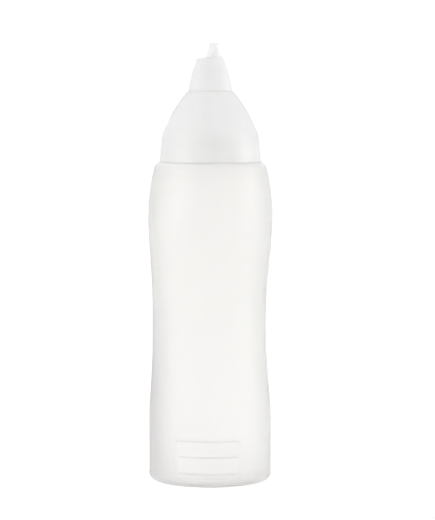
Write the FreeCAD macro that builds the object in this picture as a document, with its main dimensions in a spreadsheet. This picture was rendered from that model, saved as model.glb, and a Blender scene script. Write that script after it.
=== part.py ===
"""Squeeze bottle for sauces: a soft blown bottle, a screwed-on dome cap and a pushed-on nozzle.

Millimetres, +Z up, with the origin at the middle of the base. The writing panel faces -Y, and the
parting plane of the blow mould is the XZ plane. Each piece is a section turned round its axis: in
a sketch, x is the radius and y is the height.
"""

import FreeCAD, Part
import math
import os

import Sketcher

V = FreeCAD.Vector

START, END, MIDDLE = 1, 2, 3
HEIGHT_AXIS = -2
SAME = 1e-4

# alias: (value, what it is)
SIZES = {
    # widths of the blown bottle, each counted from the neck outwards
    "neck_radius": (30.6, "outer radius of the neck"),
    "shoulder_ledge": (1.6, "flat width of the shoulder round the neck"),
    "shoulder_corner": (4.5, "rounding between the shoulder and the side"),
    "shoulder_flare": (4.1, "how far the belly stands out past the shoulder's rounding"),
    "waist_draw": (3.5, "how far the waist lies in from the belly"),
    "foot_flare": (2.9, "how far the foot stands out from the waist"),
    # heights of the blown bottle, each counted from the one before it
    "foot_length": (42.0, "height of the straight foot"),
    "waist_lift": (62.0, "height of the waist above the straight foot"),
    "belly_lift": (69.0, "height of the widest point above the waist"),
    "shoulder_lift": (37.0, "height of the shoulder above the widest point"),
    "neck_length": (14.0, "height of the neck above the shoulder"),
    # curves and walls of the blown bottle
    "foot_bulge": (135.0, "radius of the outward curve above the foot"),
    "belly_bulge": (212.0, "radius of the outward curve below the widest point"),
    "wall": (1.1, "wall of the blown bottle"),
    "neck_wall": (2.0, "wall of the neck"),
    # base
    "foot_corner": (4.1, "rounding between the base and the side"),
    "ring_width": (2.6, "flat width of the ring that the bottle stands on"),
    "ring_round": (4.0, "rounding on the inside of that ring"),
    "push_up": (4.0, "how far the middle of the base is pushed up"),
    "push_up_slope": (9.5, "width of the slope from the ring to the pushed-up middle"),
    "seam_width": (0.8, "width of the pinch-off seam"),
    "seam_rise": (0.35, "how far the pinch-off seam stands out"),
    "seam_lift": (0.25, "height of the seam's lower end above the ring"),
    # writing panel
    "panel_bottom": (6.4, "height of the writing panel's lower edge"),
    "panel_height": (24.3, "height of the writing panel"),
    "panel_angle": (61.0, "angle that the writing panel spans"),
    "panel_depth": (0.35, "depth of the writing panel"),
    "rule_pitch": (10.2, "spacing of the ruled lines, counted from the upper edge"),
    "rule_width": (0.6, "width of a ruled line"),
    "rule_angle": (56.0, "angle that a ruled line spans"),
    "rule_count": (2, "number of ruled lines"),
    # dome cap
    "cap_gap": (0.6, "gap between the shoulder and the cap"),
    "thread_clearance": (0.3, "clearance between the neck and the cap"),
    "seal_width": (1.2, "width of the cap's seat on the rim of the neck"),
    "skirt_wall": (2.4, "wall of the cap's skirt at its lower edge"),
    "skirt_draw": (1.9, "how far the skirt draws in towards its top"),
    "skirt_over": (4.2, "height of the skirt's top above the rim of the neck"),
    "skirt_round": (0.6, "rounding of the cap's lower edge"),
    "dome_slope": (25.0, "slope of the lower dome from the vertical"),
    "cone_length": (11.0, "height of the straight lower dome"),
    "dome_length": (28.2, "height of the ledge above the skirt's top"),
    "dome_wall": (1.6, "wall of the dome"),
    "ledge_width": (1.6, "flat width of the ledge round the spigot"),
    "ledge_corner": (1.6, "rounding between the dome and its ledge"),
    "spigot_radius": (12.3, "outer radius of the dome's spigot at the ledge"),
    "spigot_top_radius": (7.3, "outer radius of the spigot at its rim"),
    "spigot_length": (19.2, "height of the spigot above the ledge"),
    "spigot_wall": (1.4, "wall of the spigot"),
    # nozzle
    "nozzle_gap": (1.3, "gap between the ledge and the nozzle"),
    "nozzle_clearance": (0.7, "clearance between the spigot and the nozzle"),
    "nozzle_wall": (1.3, "wall of the nozzle"),
    "nozzle_bulge": (110.0, "radius of the outward curve of the nozzle"),
    "nozzle_corner": (1.4, "rounding between the nozzle's side and its roof"),
    "roof_wall": (1.7, "thickness of the roof at its edge"),
    "roof_rise": (1.4, "rise of the roof from its edge to its middle"),
    "tip_offset": (2.4, "how far the tip stands to the side of the axis"),
    "tip_radius": (5.2, "outer radius of the tip at its root, under the roof"),
    "tip_end_radius": (2.9, "outer radius of the tip at its end"),
    "tip_length": (12.0, "height of the tip's end above its root"),
    "root_wall": (2.0, "wall of the tip at its root"),
    "tip_wall": (1.3, "wall of the tip at its end"),
    "tip_round": (0.4, "rounding of the tip's end"),
    "root_round": (0.7, "rounding between the roof and the tip"),
}

# alias: (sum of other cells, what it is)
PLACES = {
    "belly_radius": ("neck_radius + shoulder_ledge + shoulder_corner + shoulder_flare",
                     "outer radius at the widest point"),
    "waist_radius": ("belly_radius - waist_draw", "outer radius at the waist"),
    "foot_radius": ("waist_radius + foot_flare", "outer radius of the foot"),
    "ring_outer": ("foot_radius - foot_corner", "outer radius of the standing ring's flat"),
    "ring_inner": ("ring_outer - ring_width", "inner radius of the standing ring's flat"),
    "push_up_radius": ("ring_inner - push_up_slope", "radius of the flat middle of the base"),
    "waist_height": ("foot_length + waist_lift", "height of the waist"),
    "belly_height": ("waist_height + belly_lift", "height of the widest point"),
    "shoulder_height": ("belly_height + shoulder_lift", "height of the shoulder"),
    "rim_height": ("shoulder_height + neck_length", "height of the rim of the neck"),
    "panel_top": ("panel_bottom + panel_height", "height of the writing panel's upper edge"),
    "cap_height": ("shoulder_height + cap_gap", "height of the cap's lower edge"),
    "skirt_height": ("rim_height + skirt_over", "height of the top of the cap's skirt"),
    "cone_height": ("skirt_height + cone_length", "height of the top of the straight dome"),
    "ledge_height": ("skirt_height + dome_length", "height of the dome's ledge"),
    "spigot_height": ("ledge_height + spigot_length", "height of the spigot's rim, where the nozzle sits"),
    "skirt_bore": ("neck_radius + thread_clearance", "inner radius of the cap's skirt"),
    "skirt_radius": ("skirt_bore + skirt_wall", "outer radius of the cap at its lower edge"),
    "skirt_top_radius": ("skirt_radius - skirt_draw", "outer radius of the cap at the top of its skirt"),
    "nozzle_height": ("ledge_height + nozzle_gap", "height of the nozzle's lower edge"),
    "roof_height": ("spigot_height + roof_wall", "height of the edge of the nozzle's roof"),
    "tip_height": ("spigot_height + tip_length", "height of the end of the tip"),
    "nozzle_radius": ("spigot_radius + nozzle_clearance + nozzle_wall",
                      "outer radius of the nozzle at its lower edge"),
    "nozzle_seat_radius": ("spigot_top_radius + nozzle_clearance + nozzle_wall",
                           "outer radius of the nozzle at the spigot's rim"),
    "bore_radius": ("tip_radius - root_wall", "radius of the bore at the root of the tip"),
    "bore_end_radius": ("tip_end_radius - tip_wall", "radius of the bore at the end of the tip"),
}


def fill_sheet(sheet):
    """Writes each size, then each place that follows from the sizes, with its meaning beside it."""
    cells = [(alias, str(value), meaning) for alias, (value, meaning) in SIZES.items()]
    cells += [(alias, f"={formula}", meaning) for alias, (formula, meaning) in PLACES.items()]
    for row, (alias, content, meaning) in enumerate(cells, start=1):
        sheet.set(f"A{row}", meaning)
        sheet.set(f"B{row}", content)
        sheet.setAlias(f"B{row}", alias)


def size(alias):
    """The value of one cell of the sheet."""
    return float(getattr(sheet, alias))


def on_circle(centre, radius, degrees):
    """The point of a circle at an angle."""
    angle = math.radians(degrees)
    return centre[0] + radius * math.cos(angle), centre[1] + radius * math.sin(angle)


def s_curve(across, along, first_radius):
    """Angle in degrees of both arcs of an S, and the second arc's radius, from the first one's."""
    angle = 2 * math.atan2(across, along)
    return math.degrees(angle), along / math.sin(angle) - first_radius


class Section:
    """A closed outline of lines and arcs, drawn edge by edge and bound to the sheet."""

    def __init__(self, body, name, plane="XZ_Plane", shift=None):
        self.sketch = body.newObject("Sketcher::SketchObject", name)
        self.sketch.AttachmentSupport = [(origin_feature(body, plane), "")]
        self.sketch.MapMode = "FlatFace"
        if shift:
            self.sketch.setExpression("AttachmentOffset.Base.x", shift)
        self.ends = []
        self.here = None

    def line(self, to, smooth=False, start=None):
        """A straight edge from the last point, or from a start, to another point."""
        self.here = start or self.here
        edge = self.sketch.addGeometry(Part.LineSegment(V(*self.here, 0), V(*to, 0)))
        return self.join(edge, START, END, to, smooth)

    def arc(self, centre, radius, start, end, smooth=True):
        """A round edge from one angle to another, clockwise where the second is the less."""
        circle = Part.Circle(V(*centre, 0), V(0, 0, 1), radius)
        low, high = sorted((start, end))
        edge = self.sketch.addGeometry(Part.ArcOfCircle(circle, math.radians(low), math.radians(high)))
        first, last = (START, END) if start < end else (END, START)
        return self.join(edge, first, last, on_circle(centre, radius, end), smooth)

    def join(self, edge, first, last, end_point, smooth):
        """Ties the start of a new edge to the end of the one before it."""
        if self.ends:
            kind = "Tangent" if smooth else "Coincident"
            self.constrain(kind, *self.ends[-1][1], edge, first)
        self.ends.append(((edge, first), (edge, last)))
        self.here = end_point
        return edge

    def close(self):
        """Ties the last edge to the first."""
        self.constrain("Coincident", *self.ends[-1][1], *self.ends[0][0])

    def end(self, edge):
        """The point where an edge ends, in the order of drawing."""
        return self.ends[edge][1]

    def constrain(self, kind, *places):
        """Adds one constraint and gives its number."""
        return self.sketch.addConstraint(Sketcher.Constraint(kind, *places))

    def level(self, *edges):
        """Makes lines level."""
        for edge in edges:
            self.constrain("Horizontal", edge)

    def upright(self, *edges):
        """Makes lines upright."""
        for edge in edges:
            self.constrain("Vertical", edge)

    def ends_upright(self, edge):
        """Puts the middle of an arc level with its end, so that it ends upright."""
        self.constrain("Horizontal", edge, MIDDLE, *self.end(edge))

    def on_axis(self, edge):
        """Puts the end of an edge on the axis that the section turns round."""
        self.constrain("PointOnObject", *self.end(edge), HEIGHT_AXIS)

    def bind(self, kind, places, expression):
        """Adds a driving dimension whose value is bound to the sheet."""
        value = float(sheet.evalExpression(expression.replace("sizes.", "")))
        number = self.constrain(kind, *places, value)
        self.sketch.setExpression(f"Constraints[{number}]", expression)

    def radius(self, edge, expression):
        """Binds the radius of an arc."""
        self.bind("Radius", [edge], expression)

    def across(self, edge, expression):
        """Binds how far the end of an edge lies from the axis."""
        self.bind("DistanceX", self.end(edge), expression)

    def height(self, edge, expression):
        """Binds the height of the end of an edge."""
        self.bind("DistanceY", self.end(edge), expression)


def origin_feature(body, role):
    """A plane or an axis of a body's own origin."""
    return next(item for item in body.Origin.OriginFeatures if item.Role == role)


def new_body(name):
    """An empty body with its label and its place."""
    body = doc.addObject("PartDesign::Body", name)
    body.Label = name
    body.Placement = FreeCAD.Placement()
    return body


def turn(body, kind, name, section, angle=None):
    """Turns a section round its height axis, all the way or evenly to both sides of its plane."""
    before = body.Tip.Shape.Volume if body.Tip else 0.0
    feature = body.newObject(f"PartDesign::{kind}", name)
    feature.Profile = section.sketch
    feature.ReferenceAxis = (section.sketch, ["V_Axis"])
    feature.Angle = 360.0
    if angle:
        feature.Midplane = True
        feature.setExpression("Angle", angle)
    doc.recompute()
    grown = feature.Shape.Volume > before
    if grown == (kind == "Groove"):
        raise RuntimeError(f"{name} changes nothing, or the wrong way")
    return feature


def round_edge(body, name, height_cell, rounding):
    """Rounds the widest level circle that lies at one height of the sheet."""
    base = body.Tip
    circles = []
    for number, edge in enumerate(base.Shape.Edges, start=1):
        curve = edge.Curve
        if isinstance(curve, Part.Circle):
            if math.isclose(curve.Center.z, size(height_cell), abs_tol=SAME):
                circles.append((curve.Radius, f"Edge{number}"))
    fillet = body.newObject("PartDesign::Fillet", name)
    fillet.Base = (base, [max(circles)[1]])
    fillet.setExpression("Radius", f"sizes.{rounding}")
    doc.recompute()
    return fillet


def bottle_section(body, name, skin=0.0, less="", more="", neck_less=""):
    """The bottle's outline, from the middle of the base out and up to the rim and back to the axis.

    It lies inside the outer outline by skin, which less and more say as an expression to take off
    or to add; neck_less says how far it lies inside the neck.
    """
    foot = size("foot_radius") - skin
    waist = size("waist_radius") - skin
    belly = size("belly_radius") - skin
    base = size("push_up") + skin
    neck = float(sheet.evalExpression(f"neck_radius{neck_less}".replace("sizes.", "")))

    ring_round = size("ring_round") - skin
    slope_angle, slope_round = s_curve(size("push_up"), size("push_up_slope"), ring_round)
    foot_bulge = size("foot_bulge") - skin
    low_angle, low_hollow = s_curve(size("foot_flare"), size("waist_lift"), foot_bulge)
    belly_bulge = size("belly_bulge") - skin
    high_angle, high_hollow = s_curve(size("waist_draw"), size("belly_lift"), belly_bulge)

    corner = size("shoulder_corner") - skin
    corner_across = size("neck_radius") + size("shoulder_ledge")
    corner_height = size("shoulder_height") - size("shoulder_corner")
    reach = belly - corner_across
    rise = corner_height - size("belly_height")
    bulge = (reach ** 2 + rise ** 2 - corner ** 2) / (2 * (reach - corner))
    bulge_angle = math.degrees(math.asin(rise / (bulge - corner)))

    section = Section(body, name)
    middle = section.line((size("push_up_radius"), base), start=(0, base))
    section.arc((size("push_up_radius"), base - slope_round), slope_round, 90, 90 - slope_angle)
    ring = section.arc((size("ring_inner"), skin + ring_round), ring_round, 270 - slope_angle, 270)
    stand = section.line((size("ring_outer"), skin), smooth=True)
    foot_arc = section.arc((size("ring_outer"), size("foot_corner")), size("foot_corner") - skin, 270, 360)
    side = section.line((foot, size("foot_length")), smooth=True)
    low_out = section.arc((foot - foot_bulge, size("foot_length")), foot_bulge, 0, low_angle)
    low_in = section.arc((waist + low_hollow, size("waist_height")), low_hollow, 180 + low_angle, 180)
    section.arc((waist + high_hollow, size("waist_height")), high_hollow, 180, 180 - high_angle)
    high_out = section.arc((belly - belly_bulge, size("belly_height")), belly_bulge, -high_angle, 0)
    section.arc((belly - bulge, size("belly_height")), bulge, 0, bulge_angle)
    shoulder = section.arc((corner_across, corner_height), corner, bulge_angle, 90)
    top = section.line((neck, size("shoulder_height") - skin), smooth=True)
    neck_side = section.line((neck, size("rim_height")))
    rim = section.line((0, size("rim_height")))
    axis = section.line((0, base))
    section.close()

    section.level(middle, stand, top, rim)
    section.upright(side, neck_side, axis)
    section.ends_upright(low_in)
    section.ends_upright(high_out)
    section.on_axis(axis)
    section.height(axis, f"sizes.push_up{more}")
    section.across(middle, "sizes.push_up_radius")
    section.radius(ring, f"sizes.ring_round{less}")
    section.across(ring, "sizes.ring_inner")
    section.bind("DistanceY", section.end(stand), more.removeprefix(" + ") or "0")
    section.radius(foot_arc, f"sizes.foot_corner{less}")
    section.across(side, f"sizes.foot_radius{less}")
    section.height(side, "sizes.foot_length")
    section.radius(low_out, f"sizes.foot_bulge{less}")
    section.across(low_in, f"sizes.waist_radius{less}")
    section.height(low_in, "sizes.waist_height")
    section.radius(high_out, f"sizes.belly_bulge{less}")
    section.across(high_out, f"sizes.belly_radius{less}")
    section.height(high_out, "sizes.belly_height")
    section.radius(shoulder, f"sizes.shoulder_corner{less}")
    section.across(shoulder, "sizes.neck_radius + sizes.shoulder_ledge")
    section.height(shoulder, f"sizes.shoulder_height{less}")
    section.across(top, f"sizes.neck_radius{neck_less}")
    section.height(neck_side, "sizes.rim_height")
    return section


def add_pinch_seam(body):
    """Pinch-off seam: a low ridge round the base corner on each side, where the mould halves close."""
    corner = size("foot_corner")
    centre = (size("ring_outer"), corner)
    outside = corner + size("seam_rise")
    inside = corner - size("wall") / 2
    low_angle = 360 - math.degrees(math.asin((corner - size("seam_lift")) / outside))

    section = Section(body, "pinch_seam_section")
    outer = section.arc(centre, outside, low_angle, 360)
    top = section.line(on_circle(centre, inside, 360))
    inner = section.arc(centre, inside, 360, low_angle, smooth=False)
    bottom = section.line(on_circle(centre, outside, low_angle))
    section.close()
    section.level(top)
    section.constrain("Coincident", outer, MIDDLE, inner, MIDDLE)
    section.constrain("PointOnObject", outer, MIDDLE, top)
    section.constrain("PointOnObject", outer, MIDDLE, bottom)
    section.bind("DistanceX", (outer, MIDDLE), "sizes.ring_outer")
    section.bind("DistanceY", (outer, MIDDLE), "sizes.foot_corner")
    section.radius(outer, "sizes.foot_corner + sizes.seam_rise")
    section.radius(inner, "sizes.foot_corner - sizes.wall / 2")
    section.height(bottom, "sizes.seam_lift")

    ridge = body.newObject("PartDesign::Pad", "pinch_seam")
    ridge.Profile = section.sketch
    ridge.Midplane = True
    ridge.setExpression("Length", "sizes.seam_width")
    doc.recompute()
    pair = body.newObject("PartDesign::Mirrored", "pinch_seam_pair")
    pair.Originals = [ridge]
    pair.MirrorPlane = (origin_feature(body, "YZ_Plane"), [""])
    body.Tip = pair
    doc.recompute()


def add_pinch_line(body):
    """Pinch-off line: the same ridge, run across the pushed-up middle of the base."""
    low = size("push_up") - size("seam_rise")
    high = size("push_up") + size("wall") / 2
    end = size("push_up_radius")
    section = Section(body, "pinch_line_section")
    lower = section.line((end, low), start=(-end, low))
    right = section.line((end, high))
    upper = section.line((-end, high))
    left = section.line((-end, low))
    section.close()
    section.level(lower, upper)
    section.upright(right, left)
    section.across(lower, "sizes.push_up_radius")
    section.height(lower, "sizes.push_up - sizes.seam_rise")
    section.bind("DistanceX", (*section.end(left), *section.end(lower)), "2 * sizes.push_up_radius")
    section.height(right, "sizes.push_up + sizes.wall / 2")
    line = body.newObject("PartDesign::Pad", "pinch_line")
    line.Profile = section.sketch
    line.Midplane = True
    line.setExpression("Length", "sizes.seam_width")
    doc.recompute()


def band_section(body, name, inner, outer, low, high):
    """A small rectangle on the -Y side, between two radii and two heights given as expressions."""
    near, far, bottom, top = (float(sheet.evalExpression(text.replace("sizes.", "")))
                              for text in (inner, outer, low, high))
    section = Section(body, name, plane="YZ_Plane")
    lower = section.line((-near, bottom), start=(-far, bottom))
    inside = section.line((-near, top))
    upper = section.line((-far, top))
    outside = section.line((-far, bottom))
    section.close()
    section.level(lower, upper)
    section.upright(inside, outside)
    section.across(lower, f"-({inner})")
    section.across(upper, f"-({outer})")
    section.height(lower, low)
    section.height(inside, high)
    return section


def add_writing_panel(body):
    """A shallow field sunk into the front, crossed by raised ruled lines."""
    floor = "sizes.foot_radius - sizes.panel_depth"
    field = band_section(body, "panel_section", floor, "sizes.foot_radius + sizes.panel_depth",
                         "sizes.panel_bottom", "sizes.panel_top")
    turn(body, "Groove", "writing_panel", field, "sizes.panel_angle")

    rule_middle = "sizes.panel_top - sizes.rule_pitch"
    rule = band_section(body, "rule_section", f"{floor} - sizes.wall / 4", "sizes.foot_radius",
                        f"{rule_middle} - sizes.rule_width / 2", f"{rule_middle} + sizes.rule_width / 2")
    line = turn(body, "Revolution", "ruled_line", rule, "sizes.rule_angle")
    rows = body.newObject("PartDesign::LinearPattern", "ruled_lines")
    rows.Originals = [line]
    rows.Direction = (origin_feature(body, "Z_Axis"), [""])
    rows.Reversed = True
    rows.Mode = "Spacing"
    rows.setExpression("Offset", "sizes.rule_pitch")
    rows.setExpression("Occurrences", "sizes.rule_count")
    body.Tip = rows
    doc.recompute()


def make_bottle():
    """Blown bottle: base with a push-up, waist, shoulder, open neck and a panel to write on."""
    body = new_body("bottle_body")
    turn(body, "Revolution", "outside", bottle_section(body, "outside_section"))
    add_pinch_seam(body)
    add_pinch_line(body)
    inside = bottle_section(body, "inside_section", size("wall"), " - sizes.wall", " + sizes.wall",
                            " - sizes.neck_wall")
    turn(body, "Groove", "inside", inside)
    add_writing_panel(body)
    return body


def make_dome_cap():
    """Screw cap: a skirt over the neck, a dome above it and a hollow spigot for the nozzle."""
    slope = size("dome_slope")
    tan_slope = math.tan(math.radians(slope))
    wall = size("dome_wall")
    cone_top = (size("skirt_top_radius") - size("cone_length") * tan_slope, size("cone_height"))
    corner = size("ledge_corner")
    corner_centre = (size("spigot_radius") + size("ledge_width"), size("ledge_height") - corner)
    out, down = cone_top[0] - corner_centre[0], cone_top[1] - corner_centre[1]
    lean = out * math.cos(math.radians(slope)) + down * math.sin(math.radians(slope))
    bulge = (out ** 2 + down ** 2 - corner ** 2) / (2 * (lean - corner))
    centre = on_circle(cone_top, -bulge, slope)
    dome_angle = math.degrees(math.asin((corner_centre[1] - centre[1]) / (bulge - corner)))
    ceiling = size("ledge_height") - wall
    ceiling_angle = math.degrees(math.asin((ceiling - centre[1]) / (bulge - wall)))
    spigot_slope = (size("spigot_radius") - size("spigot_top_radius")) / size("spigot_length")
    bore_low = size("spigot_radius") - size("spigot_wall") + wall * spigot_slope
    bore_high = size("spigot_top_radius") - size("spigot_wall")
    inner_cone_top = on_circle(centre, bulge - wall, slope)
    seat = size("neck_radius") - size("seal_width")
    seat_top = inner_cone_top[1] - (seat - inner_cone_top[0]) / tan_slope

    body = new_body("dome_cap")
    section = Section(body, "dome_section")
    skirt_start = (size("skirt_radius"), size("cap_height"))
    skirt = section.line((size("skirt_top_radius"), size("skirt_height")), start=skirt_start)
    cone = section.line(cone_top)
    dome = section.arc(centre, bulge, slope, dome_angle)
    edge = section.arc(corner_centre, corner, dome_angle, 90)
    ledge = section.line((size("spigot_radius"), size("ledge_height")), smooth=True)
    spigot = section.line((size("spigot_top_radius"), size("spigot_height")))
    spigot_rim = section.line((bore_high, size("spigot_height")))
    bore = section.line((bore_low, ceiling))
    underside = section.line(on_circle(centre, bulge - wall, ceiling_angle))
    inner_dome = section.arc(centre, bulge - wall, ceiling_angle, slope, smooth=False)
    inner_cone = section.line((seat, seat_top), smooth=True)
    seat_side = section.line((seat, size("rim_height")))
    seat_face = section.line((size("skirt_bore"), size("rim_height")))
    skirt_inside = section.line((size("skirt_bore"), size("cap_height")))
    bottom = section.line(skirt_start)
    section.close()

    section.level(ledge, spigot_rim, underside, seat_face, bottom)
    section.upright(seat_side, skirt_inside)
    section.constrain("Coincident", dome, MIDDLE, inner_dome, MIDDLE)
    section.constrain("Parallel", cone, inner_cone)
    section.constrain("Parallel", spigot, bore)
    section.across(bottom, "sizes.skirt_radius")
    section.height(bottom, "sizes.cap_height")
    section.across(skirt, "sizes.skirt_top_radius")
    section.height(skirt, "sizes.skirt_height")
    section.across(cone, "sizes.skirt_top_radius - sizes.cone_length * tan(sizes.dome_slope * 1 deg)")
    section.height(cone, "sizes.cone_height")
    section.radius(edge, "sizes.ledge_corner")
    section.across(edge, "sizes.spigot_radius + sizes.ledge_width")
    section.height(ledge, "sizes.ledge_height")
    section.across(ledge, "sizes.spigot_radius")
    section.across(spigot, "sizes.spigot_top_radius")
    section.height(spigot, "sizes.spigot_height")
    section.across(spigot_rim, "sizes.spigot_top_radius - sizes.spigot_wall")
    section.height(bore, "sizes.ledge_height - sizes.dome_wall")
    section.bind("DistanceX", (*section.end(inner_dome), *section.end(cone)),
                 "sizes.dome_wall * cos(sizes.dome_slope * 1 deg)")
    section.across(inner_cone, "sizes.neck_radius - sizes.seal_width")
    section.height(seat_side, "sizes.rim_height")
    section.across(seat_face, "sizes.skirt_bore")
    turn(body, "Revolution", "dome", section)
    round_edge(body, "skirt_edge", "cap_height", "skirt_round")
    return body


def make_nozzle():
    """Nozzle: a hollow tapered cap that sits on the spigot's rim, with a bored tip to one side."""
    wall = size("nozzle_wall")
    bulge = size("nozzle_bulge")
    foot = V(size("nozzle_radius"), size("nozzle_height"), 0)
    head = V(size("nozzle_seat_radius"), size("spigot_height"), 0)
    chord = head - foot
    inward = V(-chord.y, chord.x, 0).normalize()
    middle = (foot + head) * 0.5 + inward * math.sqrt(bulge ** 2 - (chord.Length / 2) ** 2)
    centre = (middle.x, middle.y)
    low_angle, high_angle, inner_high, inner_low = (
        math.degrees(math.asin((size(cell) - centre[1]) / radius))
        for cell, radius in (("nozzle_height", bulge), ("spigot_height", bulge),
                             ("spigot_height", bulge - wall), ("nozzle_height", bulge - wall)))
    roof_radius = head.x - size("roof_wall") * math.tan(math.radians(high_angle))

    body = new_body("nozzle")
    section = Section(body, "nozzle_section")
    side = section.arc(centre, bulge, low_angle, high_angle)
    roof_edge = section.line((roof_radius, size("roof_height")), smooth=True)
    crown = section.line((0, size("roof_height") + size("roof_rise")))
    axis = section.line((0, size("spigot_height")))
    seat = section.line(on_circle(centre, bulge - wall, inner_high))
    inner_side = section.arc(centre, bulge - wall, inner_high, inner_low, smooth=False)
    bottom = section.line(on_circle(centre, bulge, low_angle))
    section.close()
    section.level(seat, bottom)
    section.upright(axis)
    section.on_axis(axis)
    section.constrain("Coincident", side, MIDDLE, inner_side, MIDDLE)
    section.radius(side, "sizes.nozzle_bulge")
    section.radius(inner_side, "sizes.nozzle_bulge - sizes.nozzle_wall")
    section.across(bottom, "sizes.nozzle_radius")
    section.height(bottom, "sizes.nozzle_height")
    section.across(side, "sizes.nozzle_seat_radius")
    section.height(side, "sizes.spigot_height")
    section.height(roof_edge, "sizes.roof_height")
    section.height(crown, "sizes.roof_height + sizes.roof_rise")
    section.height(axis, "sizes.spigot_height")
    turn(body, "Revolution", "tapered_cap", section)
    round_edge(body, "roof_edge", "roof_height", "nozzle_corner")
    add_tip(body)
    return body


def taper_section(body, name, root_cell, end_cell):
    """Half of a taper from the spigot's rim to the end of the tip, drawn from the tip's own axis."""
    low, high = size("spigot_height"), size("tip_height")
    section = Section(body, name, shift="sizes.tip_offset")
    root = section.line((size(root_cell), low), start=(0, low))
    side = section.line((size(end_cell), high))
    end = section.line((0, high))
    axis = section.line((0, low))
    section.close()
    section.level(root, end)
    section.upright(axis)
    section.on_axis(axis)
    section.across(root, f"sizes.{root_cell}")
    section.height(root, "sizes.spigot_height")
    section.across(side, f"sizes.{end_cell}")
    section.height(side, "sizes.tip_height")
    return section


def round_root(body):
    """Rounds the corner between the roof and the tip: the only edge up there that isn't flat or straight."""
    base = body.Tip
    roots = []
    for number, edge in enumerate(base.Shape.Edges, start=1):
        bent = not isinstance(edge.Curve, (Part.Circle, Part.Line))
        if bent and edge.BoundBox.ZMin > size("roof_height"):
            roots.append(f"Edge{number}")
    fillet = body.newObject("PartDesign::Fillet", "root_edge")
    fillet.Base = (base, roots)
    fillet.setExpression("Radius", "sizes.root_round")
    doc.recompute()


def add_tip(body):
    """The tip and its bore, both turned round an axis beside the bottle's own."""
    turn(body, "Revolution", "tip", taper_section(body, "tip_section", "tip_radius", "tip_end_radius"))
    round_root(body)
    round_edge(body, "tip_edge", "tip_height", "tip_round")
    turn(body, "Groove", "bore", taper_section(body, "bore_section", "bore_radius", "bore_end_radius"))


def check(bodies):
    """Stops on a failed feature, or on a body that is not one sound solid."""
    for item in doc.Objects:
        if {"Invalid", "Error"} & set(item.State):
            raise RuntimeError(f"{item.Name}: {item.State}")
    for body in bodies:
        shape = body.Shape
        if shape.isNull() or not shape.isValid() or len(shape.Solids) != 1:
            raise RuntimeError(f"{body.Label}: not one valid solid")
        box = shape.optimalBoundingBox(False)
        print(f"{body.Label}: {shape.Volume:.1f} mm3, z {box.ZMin:.2f} to {box.ZMax:.2f},"
              f" {box.XLength:.2f} wide")


doc = FreeCAD.newDocument("squeeze_bottle")
sheet = doc.addObject("Spreadsheet::Sheet", "sizes")
fill_sheet(sheet)
doc.recompute()

pieces = [make_bottle(), make_dome_cap(), make_nozzle()]
doc.recompute()
check(pieces)
os.makedirs("parts", exist_ok=True)
for piece in pieces:
    piece.Shape.exportStep(f"parts/{piece.Label}.step")
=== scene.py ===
"""A squeeze bottle for sauces: a blown bottle, a screw cap with a hollow dome, and a tapered nozzle.

Sizes are in millimetres in the classes and in metres in the meshes. The bottle stands on z = 0 with its
writing panel towards -Y, and the nozzle's tip stands to one side of the axis, towards +X.
"""

import logging
import math
from collections.abc import Callable
from dataclasses import dataclass, field
from enum import Enum

import bmesh
import bpy
from bmesh.types import BMesh, BMVert
from bpy.types import ID, Material, Mesh, Node, NodeSocket, NodeTree, Object, bpy_prop_collection
from mathutils import Matrix, Vector

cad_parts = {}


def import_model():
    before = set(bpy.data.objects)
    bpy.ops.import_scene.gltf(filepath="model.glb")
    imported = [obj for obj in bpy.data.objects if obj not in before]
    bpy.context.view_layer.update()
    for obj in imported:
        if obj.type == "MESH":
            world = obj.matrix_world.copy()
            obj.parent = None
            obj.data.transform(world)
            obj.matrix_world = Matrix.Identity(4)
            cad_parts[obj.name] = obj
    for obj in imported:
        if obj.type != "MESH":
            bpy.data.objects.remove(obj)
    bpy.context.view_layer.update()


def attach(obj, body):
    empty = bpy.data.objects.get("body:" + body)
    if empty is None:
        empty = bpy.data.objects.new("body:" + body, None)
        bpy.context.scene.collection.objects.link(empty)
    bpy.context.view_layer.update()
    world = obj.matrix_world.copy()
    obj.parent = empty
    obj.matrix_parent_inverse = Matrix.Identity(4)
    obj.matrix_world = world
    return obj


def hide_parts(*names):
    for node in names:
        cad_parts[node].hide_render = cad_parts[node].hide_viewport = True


LOG = logging.getLogger("squeeze_bottle")
MM = 0.001
FRONT = -90.0  # the angle round the axis that the writing panel faces, in degrees
PARTING_SIDES = (0.0, 180.0)  # the angles of the blow mould's parting plane
SHARP_ANGLE = math.radians(32)
BEAD_SHARP_ANGLE = math.radians(50)
Point = tuple[float, float]
Relief = Callable[[int, float], float]
Drift = Callable[[float], float]


def linear(code: str) -> tuple[float, float, float, float]:
    """Turns an sRGB hex colour into linear light.

    Args:
        code: The colour as "#rrggbb".

    Returns:
        Red, green, blue and an alpha of 1.
    """
    channels = [int(code[start:start + 2], 16) / 255 for start in (1, 3, 5)]
    light = [c / 12.92 if c <= 0.04045 else ((c + 0.055) / 1.055) ** 2.4 for c in channels]
    return (light[0], light[1], light[2], 1.0)


def add_node(tree: NodeTree, kind: str, settings: dict[str, object] | None = None, **inputs: object) -> Node:
    """Adds a node, sets it and links or fills its inputs.

    Args:
        tree: The tree.
        kind: The node's type.
        settings: The node's own properties.
        inputs: Each input's name with underscores for spaces, or "at_" and its number, and what goes in: a
            socket, a node whose first output is meant, or a plain value.

    Returns:
        The new node.
    """
    node = tree.nodes.new(kind)
    for name, value in (settings or {}).items():
        setattr(node, name, value)
    for name, value in inputs.items():
        key = int(name[3:]) if name.startswith("at_") else name.replace("_", " ")
        if isinstance(value, (Node, NodeSocket)):
            tree.links.new(value.outputs[0] if isinstance(value, Node) else value, node.inputs[key])
        else:
            node.inputs[key].default_value = value
    return node


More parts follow.
